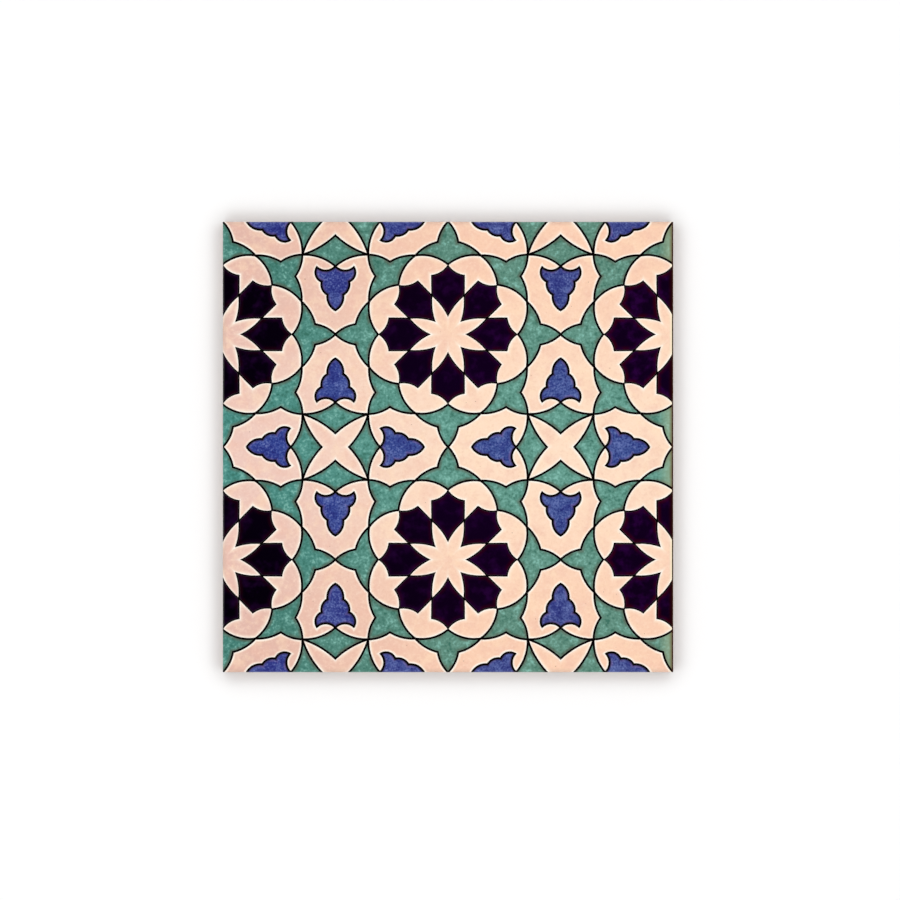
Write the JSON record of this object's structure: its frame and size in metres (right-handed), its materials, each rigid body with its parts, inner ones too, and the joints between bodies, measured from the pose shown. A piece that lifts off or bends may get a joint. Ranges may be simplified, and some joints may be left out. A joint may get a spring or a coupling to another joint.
{
  "type": "moroccan_tile",
  "caption": "Square glazed ceramic wall tile with a dry-line geometric rosette, kite and shield pattern in cream, green, blue and aubergine enamels",
  "frame": {"origin": "Centre of the back at the level of the back's lands, bottom centre of the bounding box", "axes": "+Z out of the back towards the glazed face; +X to the picture's right and +Y up the picture, along the tile's edges"},
  "size_m": [0.2, 0.2, 0.009],
  "materials": {
    "tile": "glossy opaque enamels between matt dark lines"
  },
  "bodies": {
    "root": {"tile": "tile"}
  },
  "joints": []
}
